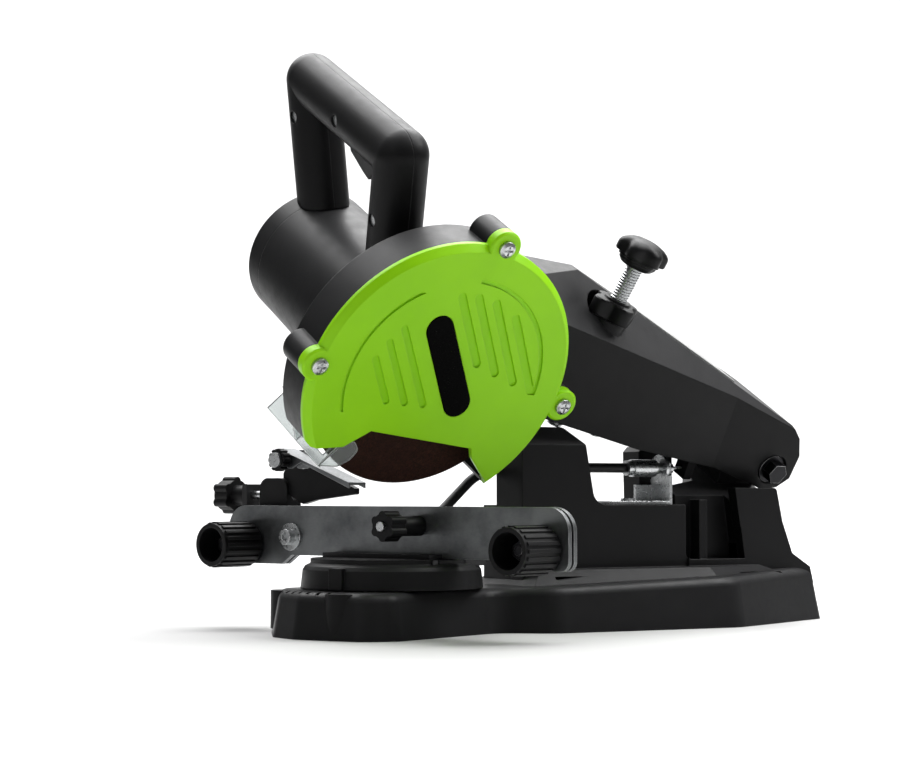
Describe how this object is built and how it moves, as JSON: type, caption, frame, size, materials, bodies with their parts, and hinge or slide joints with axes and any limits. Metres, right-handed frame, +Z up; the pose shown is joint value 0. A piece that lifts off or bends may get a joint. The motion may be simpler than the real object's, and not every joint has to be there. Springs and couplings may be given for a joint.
{
  "type": "chainsaw chain sharpener",
  "caption": "Bench electric chainsaw chain sharpener: tilted grinding head with motor, green guard and handle, hinged on a moulded base over a swivelling chain vise.",
  "frame": {"origin": "on the bench, under the axis that the vise swivels about", "axes": "+Z up, +X from the vise to the rear hinge, +Y away from the guard's green cover"},
  "size_m": [0.2956, 0.2057, 0.2508],
  "materials": {
    "black_plastic": "fine moulded texture",
    "knob_plastic": "satin moulded",
    "trigger_plastic": "satin moulded",
    "green_plastic": "semi-gloss moulded",
    "gloss_black": "gloss",
    "grey_panel": "satin film",
    "clear_sheet": "clear sheet",
    "abrasive_brown": "coarse bonded grain",
    "jaw_steel": "ground",
    "zinc_steel": "bright zinc",
    "dark_steel": "black oxide",
    "black_metal": "satin black",
    "cast_aluminium": "turned",
    "core_iron": "varnished laminations",
    "copper_bars": "machined",
    "brass_bush": "machined",
    "bearing_chrome": "polished",
    "cable_rubber": "satin"
  },
  "bodies": {
    "base": {"base_shell": "black_plastic", "hinge_bush": "brass_bush", "cable_bracket": "zinc_steel", "bracket_fasteners": "zinc_steel", "clamp_cable": "cable_rubber", "clamp_wire": "zinc_steel"},
    "barrel": {"cable_barrel": "zinc_steel"},
    "vise": {"swivel_table": "black_plastic", "pivot_bolt": "zinc_steel", "jaw_carrier": "black_metal", "front_jaw": "jaw_steel", "guide_pins": "zinc_steel", "knob_bolts": "dark_steel", "clamp_screw": "zinc_steel", "stop_rail": "black_metal"},
    "rear_jaw": {"rear_jaw": "jaw_steel"},
    "left_knob": {"left_knob": "knob_plastic"},
    "right_knob": {"right_knob": "knob_plastic"},
    "middle_knob": {"middle_knob": "knob_plastic"},
    "carriage": {"stop_carriage": "knob_plastic", "pawl_pin": "zinc_steel"},
    "feed_knob": {"feed_screw": "zinc_steel", "feed_knob": "knob_plastic"},
    "pawl": {"chain_pawl": "jaw_steel"},
    "pawl_nut": {"pawl_nut": "knob_plastic"},
    "head": {"arm_shell": "black_plastic", "arm_bottom_cover": "black_plastic", "arm_panel": "grey_panel", "hinge_bolt": "dark_steel", "hinge_nut": "dark_steel", "guard_body": "black_plastic", "guard_cover": "green_plastic", "label_plate": "gloss_black", "cover_screws": "zinc_steel", "bearings": "bearing_chrome", "field_magnets": "core_iron", "brush_holders": "knob_plastic", "motor_housing": "black_plastic", "motor_end_cap": "black_plastic", "cord_gland": "cable_rubber", "handle_left": "black_plastic", "handle_right": "black_plastic", "housing_screws": "zinc_steel", "switch": "knob_plastic", "shield_bracket": "black_plastic"},
    "spindle": {"grinding_wheel": "abrasive_brown", "inner_flange": "cast_aluminium", "outer_flange": "cast_aluminium", "arbor_nut": "zinc_steel", "motor_shaft": "zinc_steel", "cooling_fan": "knob_plastic", "rotor": "core_iron", "commutator": "copper_bars"},
    "trigger": {"trigger": "trigger_plastic"},
    "stop_rod": {"stop_rod": "zinc_steel"},
    "stop_knob": {"stop_knob": "knob_plastic"},
    "lock_knob": {"lock_knob": "knob_plastic"},
    "eye_shield": {"eye_shield": "clear_sheet"}
  },
  "joints": [
    {"name": "head_pivot", "type": "hinge", "parent": "base", "child": "head", "pos_m": [0.203, 0.00366, 0.07746], "axis": [0, 0.866, 0.5], "range_deg": [0, 50], "deforming": ["clamp_wire"]},
    {"name": "wheel_spin", "type": "hinge", "parent": "head", "child": "spindle", "pos_m": [0, -0.027, 0.11056], "axis": [0, 0.866, 0.5], "continuous": true},
    {"name": "trigger_press", "type": "slide", "parent": "head", "child": "trigger", "axis": [-0.2079, -0.4891, 0.8471], "range_m": [0, 0.0032], "stiffness_N_per_m": 900, "springref_m": -0.002},
    {"name": "stop_travel", "type": "slide", "parent": "head", "child": "stop_rod", "axis": [0.1994, -0.49, 0.8486], "range_m": [0, 0.012]},
    {"name": "stop_turn", "type": "hinge", "parent": "stop_rod", "child": "stop_knob", "pos_m": [0.083, -0.00106, 0.08963], "axis": [0.1994, -0.49, 0.8486], "range_deg": [-5, 4400]},
    {"name": "lock_turn", "type": "hinge", "parent": "head", "child": "lock_knob", "pos_m": [0.083, -0.00106, 0.08963], "axis": [0.1994, -0.49, 0.8486], "range_deg": [-180, 180]},
    {"name": "vise_swivel", "type": "hinge", "parent": "base", "child": "vise", "pos_m": [0, 0, 0.019], "axis": [0, 0, 1], "range_deg": [-52, 18], "deforming": ["clamp_cable"]},
    {"name": "jaw_slide", "type": "slide", "parent": "vise", "child": "rear_jaw", "axis": [0.9563, 0.2924, 0], "range_m": [0, 0.0012]},
    {"name": "left_knob_turn", "type": "hinge", "parent": "vise", "child": "left_knob", "pos_m": [-0.03846, 0.07451, 0.0365], "axis": [0.9563, 0.2924, 0], "range_deg": [-180, 180]},
    {"name": "right_knob_turn", "type": "hinge", "parent": "vise", "child": "right_knob", "pos_m": [0.00978, -0.08328, 0.0365], "axis": [0.9563, 0.2924, 0], "range_deg": [-180, 180]},
    {"name": "middle_knob_turn", "type": "hinge", "parent": "vise", "child": "middle_knob", "pos_m": [-0.00923, -0.02112, 0.0455], "axis": [0.9563, 0.2924, 0], "range_deg": [-180, 180]},
    {"name": "carriage_slide", "type": "slide", "parent": "vise", "child": "carriage", "axis": [-0.2924, 0.9563, 0], "range_m": [-0.004, 0.004]},
    {"name": "feed_turn", "type": "hinge", "parent": "vise", "child": "feed_knob", "pos_m": [-0.01737, 0.0888, 0.058], "axis": [-0.2924, 0.9563, 0], "range_deg": [-2100, 2100]},
    {"name": "pawl_swing", "type": "hinge", "parent": "carriage", "child": "pawl", "pos_m": [-0.01666, 0.05451, 0.0734], "axis": [0.9563, 0.2924, 0], "range_deg": [-60, 4]},
    {"name": "pawl_nut_turn", "type": "hinge", "parent": "carriage", "child": "pawl_nut", "pos_m": [-0.02527, 0.05188, 0.0734], "axis": [0.9563, 0.2924, 0], "range_deg": [-180, 180]},
    {"name": "barrel_turn", "type": "hinge", "parent": "base", "child": "barrel", "pos_m": [0.137, 0.004, 0.0704], "axis": [1, 0, 0], "range_deg": [-180, 180]},
    {"name": "shield_swing", "type": "hinge", "parent": "head", "child": "eye_shield", "pos_m": [-0.043, -0.00111, 0.08972], "axis": [0, 0.866, 0.5], "range_deg": [0, 30]}
  ],
  "couplings": [
    {"joint": "stop_turn", "follows": "stop_travel", "rad_per_m": 6283.2},
    {"joint": "feed_turn", "follows": "carriage_slide", "rad_per_m": -8976},
    {"joint": "jaw_slide", "follows": "head_pivot", "m_per_rad": 0.00125}
  ]
}
